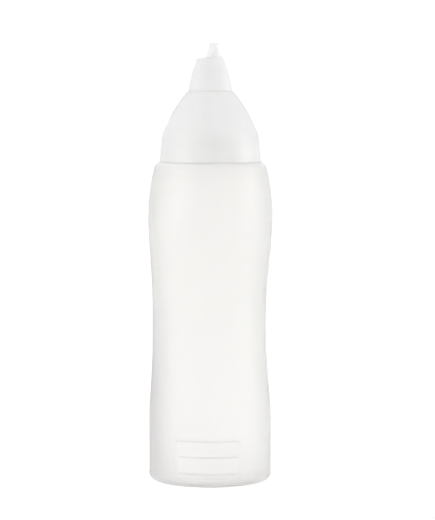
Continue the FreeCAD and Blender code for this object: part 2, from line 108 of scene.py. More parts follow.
def calculate(tree: NodeTree, operation: str, *values: float | Node | NodeSocket) -> Node:
    """Adds a math node, which takes its values in their order."""
    inputs = {f"at_{number}": value for number, value in enumerate(values)}
    return add_node(tree, "ShaderNodeMath", {"operation": operation}, **inputs)


def show(name: str, data: ID) -> Object:
    """Puts an object at the scene's origin.

    Args:
        name: The object's name.
        data: Its mesh, light or camera.

    Returns:
        The object.
    """
    piece = bpy.data.objects.new(name, data)
    bpy.context.scene.collection.objects.link(piece)
    return piece


def evaluated(piece: Object) -> Mesh:
    """Takes what an object's modifiers make of it as a plain mesh."""
    graph = bpy.context.evaluated_depsgraph_get()
    return bpy.data.meshes.new_from_object(piece.evaluated_get(graph), depsgraph=graph)


def smooth_step(value: float) -> float:
    """Rises smoothly from 0 at 0 to 1 at 1."""
    held = min(max(value, 0.0), 1.0)
    return held * held * (3 - 2 * held)


def ramp(value: float, span: Point) -> float:
    """Goes smoothly from 0 at the first end of a span to 1 at the second, which may be the lower one."""
    return smooth_step((value - span[0]) / (span[1] - span[0]))


def turned_from(degrees: float, side: float) -> float:
    """The turn from a side to an angle, in degrees from -180 up to 180."""
    return (degrees - side + 180) % 360 - 180


def on_circle(centre: Point, radius: float, degrees: float) -> Point:
    """The point of a circle at an angle."""
    angle = math.radians(degrees)
    return (centre[0] + radius * math.cos(angle), centre[1] + radius * math.sin(angle))


def angle_at(height: float, centre: Point, radius: float) -> float:
    """The angle where a circle passes a height, in degrees."""
    return math.degrees(math.asin((height - centre[1]) / radius))


def s_curve(across: float, along: float, first_radius: float) -> Point:
    """Works out an S of two tangent arcs whose ends run the same way.

    Args:
        across: The distance between the ends, square to that way.
        along: The distance between them along it.
        first_radius: The radius of the first arc.

    Returns:
        The angle of both arcs in degrees, and the radius of the second.
    """
    angle = 2 * math.atan2(across, along)
    return (math.degrees(angle), along / math.sin(angle) - first_radius)


class Outline:
    """An outline of lines and arcs over the plane of radius and height, as points in millimetres."""

    def __init__(self, start: Point) -> None:
        """Starts at one point."""
        self.points: list[Point] = [start]

    def line(self, to: Point, step: float = 3.0) -> None:
        """Adds a straight run.

        Args:
            to: Where the run ends.
            step: The longest piece of it.
        """
        start = self.points[-1]
        count = max(1, math.ceil(math.dist(start, to) / step))
        for number in range(1, count + 1):
            part = number / count
            self.points.append((start[0] + (to[0] - start[0]) * part, start[1] + (to[1] - start[1]) * part))

    def arc(self, centre: Point, radius: float, start: float, end: float, step: float = 3.0) -> None:
        """Adds a round run.

        Args:
            centre: The middle of its circle.
            radius: The circle's radius.
            start: The angle where it starts, in degrees.
            end: The angle where it ends.
            step: The longest piece of it, which also turns by no more than 9 degrees.
        """
        sweep = abs(end - start)
        count = max(2, math.ceil(math.radians(sweep) * radius / step), math.ceil(sweep / 9))
        for number in range(1, count + 1):
            self.points.append(on_circle(centre, radius, start + (end - start) * number / count))

    def normals(self, closed: bool) -> list[Point]:
        """Works out the direction square to the outline at each point.

        Args:
            closed: Whether the outline runs back from its last point to its first.

        Returns:
            A direction of length 1 for each point, to the right of the outline's run.
        """
        count = len(self.points)
        found = []
        for number in range(count):
            before = self.points[(number - 1) % count if closed else max(number - 1, 0)]
            after = self.points[(number + 1) % count if closed else min(number + 1, count - 1)]
            across, up = after[0] - before[0], after[1] - before[1]
            length = math.hypot(across, up) or 1.0
            found.append((up / length, -across / length))
        return found


@dataclass
class Lathe:
    """Turns an outline round an upright axis into one closed skin."""

    name: str
    columns: list[float]
    closed: bool = False
    axis: float = 0.0

    def mesh(self, outline: Outline, relief: Relief | None = None, drift: Drift | None = None) -> Mesh:
        """Builds the mesh.

        Args:
            outline: The outline, whose ends lie on the axis unless it is closed.
            relief: How far a point stands proud, from its number in the outline and its angle in degrees.
            drift: How far the axis lies off to +X at a height.

        Returns:
            The mesh, in metres, with its faces outwards.
        """
        form = bmesh.new()
        rings = []
        normals = outline.normals(self.closed)
        for number, ((radius, height), (out, up)) in enumerate(zip(outline.points, normals)):
            shift = self.axis + (drift(height) if drift else 0.0)
            if radius < 1e-6:
                rings.append([form.verts.new(Vector((shift, 0, height)) * MM)])
                continue
            ring = []
            for degrees in self.columns:
                proud = relief(number, degrees) if relief else 0.0
                across, along = on_circle((shift, 0.0), radius + proud * out, degrees)
                ring.append(form.verts.new(Vector((across, along, height + proud * up)) * MM))
            rings.append(ring)
        for lower, upper in zip(rings, rings[1:] + (rings[:1] if self.closed else [])):
            self.join(form, lower, upper)
        bmesh.ops.recalc_face_normals(form, faces=form.faces)
        mesh = bpy.data.meshes.new(self.name)
        form.to_mesh(mesh)
        form.free()
        mesh.shade_smooth()
        mesh.set_sharp_from_angle(angle=SHARP_ANGLE)
        return mesh

    @staticmethod
    def join(form: BMesh, lower: list[BMVert], upper: list[BMVert]) -> None:
        """Adds the faces between two rings, or between a ring and a pole.

        Args:
            form: The mesh in the making.
            lower: The points of one ring, or the one point of a pole.
            upper: The points of the next.
        """
        count = max(len(lower), len(upper))
        if count == 1:
            return
        for number in range(count):
            after = (number + 1) % count
            corners = [lower[number % len(lower)], lower[after % len(lower)],
                       upper[after % len(upper)], upper[number % len(upper)]]
            form.faces.new(list(dict.fromkeys(corners)))


def even_columns(count: int) -> list[float]:
    """Evenly spaced angles round the axis, in degrees."""
    return [360 * number / count for number in range(count)]


def between(start: float, end: float, count: int) -> list[float]:
    """The values that cut a span into equal parts, without its ends."""
    return [start + (end - start) * number / count for number in range(1, count)]


class Trait(Enum):
    """Attributes of a wall that its plastic reads, each from 0 to 1."""

    # Darkens the colour: at the thick heel, and as painted shade near the floor, low on the left side, at
    # the panel's upper step and under each rule.
    DENSE = "dense"
    # Makes the wall whiter and less clear: over the panel, the shoulder and the die line, and as painted
    # highlight lines along the panel's edges and rules.
    MILKY = "milky"


class Slot(Enum):
    """The record's material slots."""

    BOTTLE = "blown_polyethylene"
    CAP = "cap_polypropylene"
    NOZZLE = "nozzle_polyethylene"


@dataclass(frozen=True)
class WallShadeAndMilk:
    """What a blown wall looks like where its colour is darkest, at the thick heel and as painted shade, and
    where it is fully milky, as over the panel and along its painted highlight lines.
    """

    dense_colour: str
    milky_clearness: float
    milky_roughness: float


@dataclass(frozen=True)
class MilkyPlastic:
    """A milky polyolefin, which scatters light inside its wall and lets some of it through, blurred."""

    name: str
    colour: str
    ior: float
    roughness: float
    clearness: Point
    height: Point
    skin: float
    skin_roughness: float
    grain: float
    grain_height: float
    shade_and_milk: WallShadeAndMilk | None = None

    def material(self) -> Material:
        """Builds the material.

        Returns:
            The material, with a faint moulded grain.
        """
        material = bpy.data.materials.new(self.name)
        material.use_nodes = True
        tree = material.node_tree
        tree.nodes.clear()
        place = add_node(tree, "ShaderNodeTexCoord").outputs["Object"]
        grain = add_node(tree, "ShaderNodeTexNoise", {"noise_dimensions": "3D"}, Vector=place,
                         Scale=1000 / self.grain, Detail=2.0)
        bump = add_node(tree, "ShaderNodeBump", Strength=1.0, Distance=self.grain_height * MM, Height=grain)
        level = add_node(tree, "ShaderNodeSeparateXYZ", Vector=place)
        through = add_node(tree, "ShaderNodeMapRange", Value=level.outputs["Z"], To_Min=self.clearness[0],
                           To_Max=self.clearness[1], From_Min=self.height[0] * MM,
                           From_Max=self.height[1] * MM)
        colour, roughness = linear(self.colour), self.roughness
        if self.shade_and_milk:
            # The first attribute mixes in the darker colour, for the thick heel and as painted shade; the
            # second makes the wall whiter and less clear, over the panel and as painted highlight lines.
            dense, milky = (
                add_node(tree, "ShaderNodeAttribute", {"attribute_name": trait.value}).outputs["Fac"]
                for trait in Trait)
            colour = add_node(tree, "ShaderNodeMix", {"data_type": "RGBA"}, Factor=dense, at_6=colour,
                              at_7=linear(self.shade_and_milk.dense_colour)).outputs[2]
            roughness, through = (
                add_node(tree, "ShaderNodeMapRange", Value=milky, To_Min=plain, To_Max=changed)
                for plain, changed in ((roughness, self.shade_and_milk.milky_roughness),
                                       (through, self.shade_and_milk.milky_clearness)))
        shader = add_node(tree, "ShaderNodeBsdfPrincipled", Base_Color=colour, Roughness=roughness,
                          IOR=self.ior, Transmission_Weight=through, Coat_Weight=self.skin,
                          Coat_Roughness=self.skin_roughness, Normal=bump, Coat_Normal=bump)
        add_node(tree, "ShaderNodeOutputMaterial", Surface=shader)
        return material


def swept_bead(tree: NodeTree, curve: Node, width: NodeSocket, height: NodeSocket) -> tuple[Node, Node]:
    """Sweeps a flat round bead along a curve in a geometry tree.

    Args:
        tree: The tree.
        curve: The curve.
        width: The bead's width.
        height: How far it stands to each side of the curve.

    Returns:
        The swept mesh, and half the width.
    """
    ring = add_node(tree, "GeometryNodeCurvePrimitiveCircle", Resolution=12, Radius=1.0)
    half = calculate(tree, "MULTIPLY", width, 0.5)
    flat = add_node(tree, "ShaderNodeCombineXYZ", X=height, Y=half, Z=1.0)
    profile = add_node(tree, "GeometryNodeTransform", Geometry=ring, Scale=flat)
    swept = add_node(tree, "GeometryNodeCurveToMesh", Curve=curve, Profile_Curve=profile, Fill_Caps=True)
    return (swept, half)


def geometry_tree(name: str, sizes: dict[str, float | int]) -> tuple[NodeTree, bpy_prop_collection]:
    """Opens a geometry tree with an input for each size.

    Args:
        name: The tree's name.
        sizes: The sizes by name; a whole number makes a whole-number input.

    Returns:
        The tree, and the sockets of its input node.
    """
    tree = bpy.data.node_groups.new(name, "GeometryNodeTree")
    for way in ("INPUT", "OUTPUT"):
        tree.interface.new_socket("Geometry", in_out=way, socket_type="NodeSocketGeometry")
    for key, value in sizes.items():
        kind = "NodeSocketInt" if isinstance(value, int) else "NodeSocketFloat"
        tree.interface.new_socket(key, in_out="INPUT", socket_type=kind)
    return (tree, add_node(tree, "NodeGroupInput").outputs)


def grow(tree: NodeTree, sizes: dict[str, float | int], geometry: Node, material: Material) -> Object:
    """Ends a geometry tree, runs it on an empty mesh and keeps what it makes as a plain mesh.

    Args:
        tree: The tree, which gives the object its name.
        sizes: A value for each of the tree's inputs.
        geometry: What the tree has made, whose instances become real.
        material: The material that it takes.

    Returns:
        The object, with no modifier on it.
    """
    real = add_node(tree, "GeometryNodeRealizeInstances", Geometry=geometry)
    done = add_node(tree, "GeometryNodeSetMaterial", Geometry=real, Material=material)
    add_node(tree, "NodeGroupOutput", Geometry=done)
    host = show(f"{tree.name}_host", bpy.data.meshes.new(f"{tree.name}_host"))
    modifier = host.modifiers.new("tree", "NODES")
    modifier.node_group = tree
    for item in tree.interface.items_tree:
        if item.in_out == "INPUT" and item.name in sizes:
            modifier[item.identifier] = sizes[item.name]
    mesh = evaluated(host)
    bpy.data.objects.remove(host)
    mesh.name = tree.name
    mesh.shade_smooth()
    mesh.set_sharp_from_angle(angle=BEAD_SHARP_ANGLE)
    return show(tree.name, mesh)


@dataclass
class WritingPanel:
    """The shallow field for a date or a name, low on the front, with raised ruled lines."""

    radius: float = 40.2
    bottom: float = 5.9
    height: float = 24.3
    angle: float = 61.8
    depth: float = 0.8
    edge: float = 0.35
    side_edge: float = 3.0
    milkiness: float = 0.9
    # A painted highlight line runs this far inside the field's right edge.
    inner_highlight: float = 2.0
    rule_height: float = 0.5
    rule_drop: float = 10.3
    rule_pitch: float = 10.8
    rule_width: float = 0.8
    rule_angle: float = 57.0
    rule_count: int = 2
    rule_points: int = 97
    # Painted highlight lines: their reach past the field, their width, and their places below the top edge
    # and above each rule.
    highlight_reach: float = 0.6
    highlight_width: float = 0.5
    top_highlight_drop: float = 0.9
    rule_highlight_rise: float = 0.8
    edge_band: float = 0.3
    edge_pitch: float = 0.075
    field_pitch: float = 0.5
    foot_pitch: float = 0.4

    @property
    def top(self) -> float:
        """The height of the field's upper edge."""
        return self.bottom + self.height

    def sunk(self, degrees: float, height: float, edge: float) -> float:
        """How far a point of the wall lies back for the field.

        Args:
            degrees: The point's angle round the axis.
            height: Its height.
            edge: The width of the slope above and below the field.

        Returns:
            The depth in millimetres, 0 outside the field.
        """
        side, along = self.beyond(degrees, height)
        return self.depth * smooth_step(0.5 - side / self.side_edge) * smooth_step(0.5 - along / edge)

    def beyond(self, degrees: float, height: float) -> Point:
        """How far a point of the wall lies outside the field.

        Args:
            degrees: The point's angle round the axis.
            height: Its height.

        Returns:
            The distances past its sides and past its upper or lower edge, below 0 inside it.
        """
        side = math.radians(abs(turned_from(degrees, FRONT)) - self.angle / 2) * self.radius
        return (side, abs(height - self.bottom - self.height / 2) - self.height / 2)

    def field_milk_and_highlights(self, degrees: float, height: float) -> float:
        """How milky the wall is over the field, with painted highlight lines along its edges and rules.

        Args:
            degrees: The point's angle round the axis.
            height: Its height.

        Returns:
            The share, from 0 to 1.
        """
        side, along = self.beyond(degrees, height)
        if max(side, along) > self.highlight_reach:
            return 0.0
        # Painted highlight lines above each rule, below the top edge, along the bottom edge and at the
        # sides.
        first = self.top - self.rule_drop + self.rule_highlight_rise
        levels = [first - number * self.rule_pitch for number in range(self.rule_count)]
        levels += [self.top - self.top_highlight_drop, self.bottom]
        right = self.inner_highlight if turned_from(degrees, FRONT) >= 0 else 0.0
        near = min(abs(side), abs(side + right), *(abs(height - level) for level in levels))
        return max(1 - near / self.highlight_width, self.milkiness if max(side, along) < 0 else 0.0)

    def rows(self) -> list[Point]:
        """Cuts the wall into rows, fine at the field's edges.

        Returns:
            Heights from the lowest up, each with the pitch of the rows below it.
        """
        band = self.edge_band
        return [(self.bottom - band, self.foot_pitch), (self.bottom + band, self.edge_pitch),
                (self.top - band, self.field_pitch), (self.top + band, self.edge_pitch)]

    def rules(self, material: Material) -> Object:
        """Builds the ruled lines as swept arcs, one below another.

        Args:
            material: The blown plastic.

        Returns:
            The lines, with painted shade along each one's lower side and a painted highlight along its
            upper.
        """
        sizes = {"Radius": self.radius * MM, "Top": (self.top - self.rule_drop) * MM,
                 "Pitch": self.rule_pitch * MM, "Width": self.rule_width * MM, "Depth": self.depth * MM,
                 "Height": self.rule_height * MM, "Angle": math.radians(self.rule_angle),
                 "Count": self.rule_count}
        tree, given = geometry_tree("ruled_lines", sizes)
        floor = calculate(tree, "SUBTRACT", given["Radius"], given["Depth"])
        start = calculate(tree, "MULTIPLY_ADD", given["Angle"], -0.5, math.radians(FRONT))
        arc = add_node(tree, "GeometryNodeCurveArc", Resolution=self.rule_points, Radius=floor,
                       Start_Angle=start, Sweep_Angle=given["Angle"])
        swept, half = swept_bead(tree, arc, given["Width"], given["Height"])
        level = add_node(tree, "ShaderNodeSeparateXYZ", Vector=add_node(tree, "GeometryNodeInputPosition"))
        # Painted shade on each line's lower side and a painted highlight on its upper side.
        under = add_node(tree, "ShaderNodeMapRange", {"interpolation_type": "SMOOTHSTEP"},
                         Value=level.outputs["Z"], From_Min=half,
                         From_Max=calculate(tree, "MULTIPLY", half, -1.0))
        over = calculate(tree, "SUBTRACT", 1.0, under)
        for trait, share in ((Trait.DENSE, under), (Trait.MILKY, over)):
            swept = add_node(tree, "GeometryNodeStoreNamedAttribute",
                             {"data_type": "FLOAT", "domain": "POINT"},
                             Geometry=swept, Name=trait.value, Value=share)
        top = add_node(tree, "ShaderNodeCombineXYZ", Z=given["Top"])
        step = add_node(tree, "ShaderNodeCombineXYZ", Z=calculate(tree, "MULTIPLY", given["Pitch"], -1.0))
        rows = add_node(tree, "GeometryNodeMeshLine", Count=given["Count"], Start_Location=top, Offset=step)
        placed = add_node(tree, "GeometryNodeInstanceOnPoints", Points=rows, Instance=swept)
        return grow(tree, sizes, placed, material)


@dataclass
class BottleBody:
    """The blown bottle: foot, waist, belly, rounded shoulder and neck, with a pushed-up base.

    Its pairs are spans: where something starts, and where it is full.
    """

    neck_radius: float = 30.6
    shoulder_ledge: float = 1.6
    shoulder_corner: float = 4.5
    belly_radius: float = 40.8
    waist_radius: float = 37.3
    foot_radius: float = 40.2
    foot_length: float = 42.0
    waist_height: float = 104.0
    belly_height: float = 173.0
    shoulder_height: float = 210.0
    rim_height: float = 224.0
    foot_bulge: float = 135.0
    belly_bulge: float = 212.0
    wall: float = 1.1
    neck_wall: float = 2.0
    foot_corner: float = 4.1
    ring_width: float = 2.6
    ring_round: float = 4.0
    push_up: float = 4.0
    push_up_slope: float = 9.5
    seam_width: float = 0.8
    seam_rise: float = 0.35
    seam_fade: Point = (5.6, 2.6)
    ridge_reach: float = 1.0
    ridge_low: Point = (0.35, 1.55)
    ridge_stop: float = 2.0
    parting_rise: float = 0.07
    parting_width: float = 0.3
    parting_inset: float = 0.9
    waist_drift: float = -0.8
    foot_drift: float = -0.25
    # The heel and the foot are darker: partly for thicker plastic, partly as painted shade near the floor.
    heel_reach: Point = (29.0, 37.0)
    heel_height: Point = (6.0, 2.0)
    foot_share: float = 0.3
    foot_height: Point = (10.5, 8.5)
    # Painted shade: the colour darkens on the left side (-X), most towards the bottom.
    side_shade_strength: float = 0.95
    side_shade_turn: Point = (120.0, 170.0)
    side_shade_height: Point = (150.0, 30.0)
    inner_edge: float = 1.2
    # Painted shade along the panel's upper step.
    upper_step_shade: Point = (-1.2, -0.6)
    shoulder_milk: Point = (-3.2, -1.2)
    die_line: float = 0.6
    die_width: float = 0.7
    die_start: Point = (32.0, 42.0)
    die_end: Point = (165.0, 145.0)
    edge_turn: float = 2.1
    edge_columns: int = 14
    panel_columns: int = 72
    round_columns: int = 144
    parting_turns: tuple[float, ...] = (-1.2, -0.9, -0.55, -0.25, 0.0, 0.25, 0.55, 0.9, 1.2)
    parting_clear: float = 1.6
    panel: WritingPanel = field(default_factory=WritingPanel)

    def trace(self, outline: Outline, skin: float) -> None:
        """Traces the wall from the middle of the base up to the shoulder's flat.

        Args:
            outline: An outline that starts on the axis at the base.
            skin: How far inside the outer outline it runs.
        """
        foot, waist, belly = (r - skin for r in (self.foot_radius, self.waist_radius, self.belly_radius))
        base = self.push_up + skin
        ring_outer = self.foot_radius - self.foot_corner
        ring_inner = ring_outer - self.ring_width
        push_up_radius = ring_inner - self.push_up_slope
        ring_round = self.ring_round - skin
        slope_angle, slope_round = s_curve(self.push_up, self.push_up_slope, ring_round)
        foot_bulge, belly_bulge = self.foot_bulge - skin, self.belly_bulge - skin
        low_angle, low_hollow = s_curve(self.foot_radius - self.waist_radius,
                                        self.waist_height - self.foot_length, foot_bulge)
        high_angle, high_hollow = s_curve(self.belly_radius - self.waist_radius,
                                          self.belly_height - self.waist_height, belly_bulge)
        corner = self.shoulder_corner - skin
        corner_across = self.neck_radius + self.shoulder_ledge
        corner_height = self.shoulder_height - self.shoulder_corner
        reach, rise = belly - corner_across, corner_height - self.belly_height
        bulge = (reach ** 2 + rise ** 2 - corner ** 2) / (2 * (reach - corner))
        bulge_angle = math.degrees(math.asin(rise / (bulge - corner)))

        outline.line((push_up_radius, base), step=2.0)
        outline.arc((push_up_radius, base - slope_round), slope_round, 90, 90 - slope_angle)
        outline.arc((ring_inner, skin + ring_round), ring_round, 270 - slope_angle, 270)
        outline.line((ring_outer, skin))
        outline.arc((ring_outer, self.foot_corner), self.foot_corner - skin, 270, 360, step=0.45)
        for height, step in self.panel.rows():
            outline.line((foot, height), step=step if skin == 0 else max(step, 0.8))
        outline.line((foot, self.foot_length), step=2.0)
        outline.arc((foot - foot_bulge, self.foot_length), foot_bulge, 0, low_angle)
        outline.arc((waist + low_hollow, self.waist_height), low_hollow, 180 + low_angle, 180)
        outline.arc((waist + high_hollow, self.waist_height), high_hollow, 180, 180 - high_angle)
        outline.arc((belly - belly_bulge, self.belly_height), belly_bulge, -high_angle, 0)
        outline.arc((belly - bulge, self.belly_height), bulge, 0, bulge_angle, step=2.0)
        outline.arc((corner_across, corner_height), corner, bulge_angle, 90)

    def outline(self) -> tuple[Outline, int]:
        """The whole wall's outline.

        Returns:
            The outline, up the outside, over the rim and down the inside, and the number of points outside.
        """
        outer = Outline((0.0, self.push_up))
        self.trace(outer, 0.0)
        outer.line((self.neck_radius, self.shoulder_height))
        outer.line((self.neck_radius, self.rim_height), step=2.0)
        outside = len(outer.points)
        inner = Outline((0.0, self.push_up + self.wall))
        self.trace(inner, self.wall)
        inner.line((self.neck_radius - self.neck_wall, self.shoulder_height - self.wall))
        inner.line((self.neck_radius - self.neck_wall, self.rim_height), step=2.0)
        outer.points += reversed(inner.points)
        return (outer, outside)

    def columns(self) -> list[float]:
        """Spaces the wall's columns, close together at the panel's sides and the parting lines.

        Returns:
            The angles round the axis, in degrees, from the lowest up.
        """
        half, edge = self.panel.angle / 2, self.edge_turn
        steps = [-edge, *between(-edge, edge, self.edge_columns), edge]
        angles = [FRONT + side + step for side in (-half, half) for step in steps]
        angles += between(FRONT - half + edge, FRONT + half - edge, self.panel_columns)
        rest = between(FRONT + half + edge, FRONT - half - edge + 360, self.round_columns)
        for side in PARTING_SIDES:
            rest = [angle for angle in rest if abs(angle - side) > self.parting_clear]
            angles += [side + turn for turn in self.parting_turns]
        return sorted(angles + rest)

    def drift(self, height: float) -> float:
        """How far the axis of the blown wall lies off at a height, as it cooled a little bent.

        Args:
            height: The height.

        Returns:
            The distance to +X, in millimetres.
        """
        if height <= self.waist_height:
            part = ramp(height, (self.foot_length, self.waist_height))
            return self.foot_drift + (self.waist_drift - self.foot_drift) * part
        return self.waist_drift * (1 - ramp(height, (self.waist_height, self.belly_height)))

    def ridge(self, radius: float, height: float, degrees: float) -> float:
        """How far the wall stands proud along the mould's parting lines.

        The foot's pinched seam fades into a fine line, which is lost where the belly is widest.

        Args:
            radius: The outline's radius at the point.
            height: The point's height.
            degrees: Its angle round the axis.

        Returns:
            The ridge's height, in millimetres.
        """
        away = min(abs(turned_from(degrees, side)) for side in PARTING_SIDES)
        across = math.radians(away) * self.foot_radius
        if across >= self.ridge_reach or height >= self.shoulder_height - self.ridge_stop:
            return 0.0
        room = max(self.belly_radius - self.parting_inset - radius, 0.0)
        line = min(self.parting_rise, room) * math.exp(-((across / self.parting_width) ** 2))
        half = self.seam_width / 2
        seam = self.seam_rise * ramp(across, (1.5 * half, 0.5 * half))
        return (line + (seam - line) * ramp(height, self.seam_fade)) * ramp(height, self.ridge_low)

    def traits(self, across: float, along: float, height: float) -> Point:
        """How far the wall's colour is darkened, and how milky the wall is, at a point.

        Its colour is darker at the heel, partly for thicker plastic and partly as painted shade near the
        floor, and as painted shade low on the left side and at the panel's upper step. It is milky on the
        panel, at the shoulder and along the line left by the die, with painted highlight lines at the
        panel's edges and rules.

        Args:
            across: The point's place along X.
            along: Its place along Y.
            height: Its height.

        Returns:
            The two shares, from 0 to 1.
        """
        degrees = math.degrees(math.atan2(along, across))
        # Darker heel and foot: partly thicker plastic, partly painted shade near the floor.
        low = max(ramp(height, self.heel_height), self.foot_share * ramp(height, self.foot_height))
        heel = ramp(math.hypot(across, along), self.heel_reach) * low
        # Painted shade on the left side, strongest low down.
        side_shade = self.side_shade_strength * ramp(abs(degrees), self.side_shade_turn) * ramp(height, self.side_shade_height)
        # Painted shade along the panel's upper step.
        step = 1 - abs(1 - 2 * self.panel.sunk(degrees, height, self.inner_edge) / self.panel.depth)
        upper = step * ramp(height - self.panel.top, self.upper_step_shade)
        shoulder = ramp(height - self.shoulder_height, self.shoulder_milk)
        die = self.die_line * ramp(height, self.die_start) * ramp(height, self.die_end)
        line = die * (1 - abs(degrees - FRONT) / self.die_width)
        # The panel adds painted highlight lines to its milky field.
        return (max(heel, side_shade, upper), max(self.panel.field_milk_and_highlights(degrees, height), shoulder, line))

    def build(self, material: Material) -> Object:
        """Builds the bottle's wall as one closed skin.

        Args:
            material: The blown plastic.

        Returns:
            The bottle.
        """
        outline, outside = self.outline()

        def relief(number: int, degrees: float) -> float:
            """How far the wall stands proud.

            Args:
                number: The point's number in the outline.
                degrees: Its angle round the axis.

            Returns:
                The distance in millimetres, below 0 where the outside is sunk.
            """
            radius, height = outline.points[number]
            if number >= outside:
                return self.panel.sunk(degrees, height, self.inner_edge)
            return self.ridge(radius, height, degrees) - self.panel.sunk(degrees, height, self.panel.edge)

        mesh = Lathe("bottle", self.columns()).mesh(outline, relief, self.drift)
        for trait in Trait:
            mesh.attributes.new(trait.value, "FLOAT", "POINT")
        layers = [mesh.attributes[trait.value].data for trait in Trait]
        for vertex in mesh.vertices:
            for layer, share in zip(layers, self.traits(*(vertex.co / MM))):
                layer[vertex.index].value = share
        mesh.materials.append(material)
        return show("blown_bottle", mesh)

    def pinch(self, material: Material) -> Object:
        """Builds the pinched-off seam across the middle of the base, between the mould's two halves.

        Args:
            material: The blown plastic.

        Returns:
            The seam.
        """
        reach = self.foot_radius - self.foot_corner - self.ring_width - self.push_up_slope
        sizes = {"Reach": reach * MM, "Height": self.push_up * MM, "Width": self.seam_width * MM,
                 "Rise": self.seam_rise * MM}
        tree, given = geometry_tree("pinch_line", sizes)
        left = calculate(tree, "MULTIPLY", given["Reach"], -1.0)
        start = add_node(tree, "ShaderNodeCombineXYZ", X=left, Z=given["Height"])
        end = add_node(tree, "ShaderNodeCombineXYZ", X=given["Reach"], Z=given["Height"])
        line = add_node(tree, "GeometryNodeCurvePrimitiveLine", Start=start, End=end)
        swept, _ = swept_bead(tree, line, given["Width"], given["Rise"])
        return grow(tree, sizes, swept, material)


@dataclass
class DomeCap:
    """The screw cap: a skirt over the neck, a dome and a hollow spigot for the nozzle."""

    low: float = 210.02
    rim_height: float = 224.0
    skirt_radius: float = 33.3
    skirt_bore: float = 30.9
    skirt_top: Point = (31.4, 228.2)
    skirt_round: float = 0.15
    bend_round: float = 16.0
    slope: float = 25.0
    cone_height: float = 239.2
    ledge_height: float = 256.4
    ledge_corner: Point = (13.9, 254.8)
    corner: float = 1.6
    spigot_radius: float = 12.3
    spigot_top_radius: float = 7.3
    spigot_height: float = 275.6
    spigot_wall: float = 1.4
    wall: float = 1.6
    seat_radius: float = 29.4
    columns: int = 192

    def outline(self) -> Outline:
        """Traces the cap.

        Returns:
            The closed outline, from the lower edge up the outside and down the inside.
        """
        tan_slope = math.tan(math.radians(self.slope))
        cone_top = (self.skirt_top[0] - (self.cone_height - self.skirt_top[1]) * tan_slope, self.cone_height)
        out, down = cone_top[0] - self.ledge_corner[0], cone_top[1] - self.ledge_corner[1]
        lean = out * math.cos(math.radians(self.slope)) + down * math.sin(math.radians(self.slope))
        bulge = (out ** 2 + down ** 2 - self.corner ** 2) / (2 * (lean - self.corner))
        centre = on_circle(cone_top, -bulge, self.slope)
        dome_angle = angle_at(self.ledge_corner[1], centre, bulge - self.corner)
        ceiling = self.ledge_height - self.wall
        ceiling_angle = angle_at(ceiling, centre, bulge - self.wall)
        taper = (self.spigot_radius - self.spigot_top_radius) / (self.spigot_height - self.ledge_height)
        bore_low = self.spigot_radius - self.spigot_wall + self.wall * taper
        inner_cone_top = on_circle(centre, bulge - self.wall, self.slope)
        seat_top = inner_cone_top[1] - (self.seat_radius - inner_cone_top[0]) / tan_slope

        edge = self.skirt_radius - self.skirt_round
        outline = Outline((edge, self.low))
        outline.arc((edge, self.low + self.skirt_round), self.skirt_round, 270, 360, step=0.2)
        rise = math.degrees(math.atan2(self.skirt_radius - self.skirt_top[0], self.skirt_top[1] - self.low))
        reach = self.bend_round * math.tan(math.radians(self.slope - rise) / 2)
        below = on_circle(self.skirt_top, reach, rise - 90)
        outline.line(below)
        outline.arc(on_circle(below, -self.bend_round, rise), self.bend_round, rise, self.slope, step=0.8)
        outline.line(cone_top, step=2.0)
        outline.arc(centre, bulge, self.slope, dome_angle, step=1.2)
        outline.arc(self.ledge_corner, self.corner, dome_angle, 90, step=0.4)
        for corner in ((self.spigot_radius, self.ledge_height), (self.spigot_top_radius, self.spigot_height),
                       (self.spigot_top_radius - self.spigot_wall, self.spigot_height), (bore_low, ceiling),
                       on_circle(centre, bulge - self.wall, ceiling_angle)):
            outline.line(corner)
        outline.arc(centre, bulge - self.wall, ceiling_angle, self.slope, step=1.2)
        outline.line((self.seat_radius, seat_top), step=2.0)
        for corner in ((self.seat_radius, self.rim_height), (self.skirt_bore, self.rim_height),
                       (self.skirt_bore, self.low)):
            outline.line(corner)
        return outline

    def build(self, material: Material) -> Object:
        """Builds the cap as one closed skin.

        Args:
            material: The moulded plastic.

        Returns:
            The cap.
        """
        mesh = Lathe("cap", even_columns(self.columns), closed=True).mesh(self.outline())
        mesh.materials.append(material)
        return show("screw_cap", mesh)


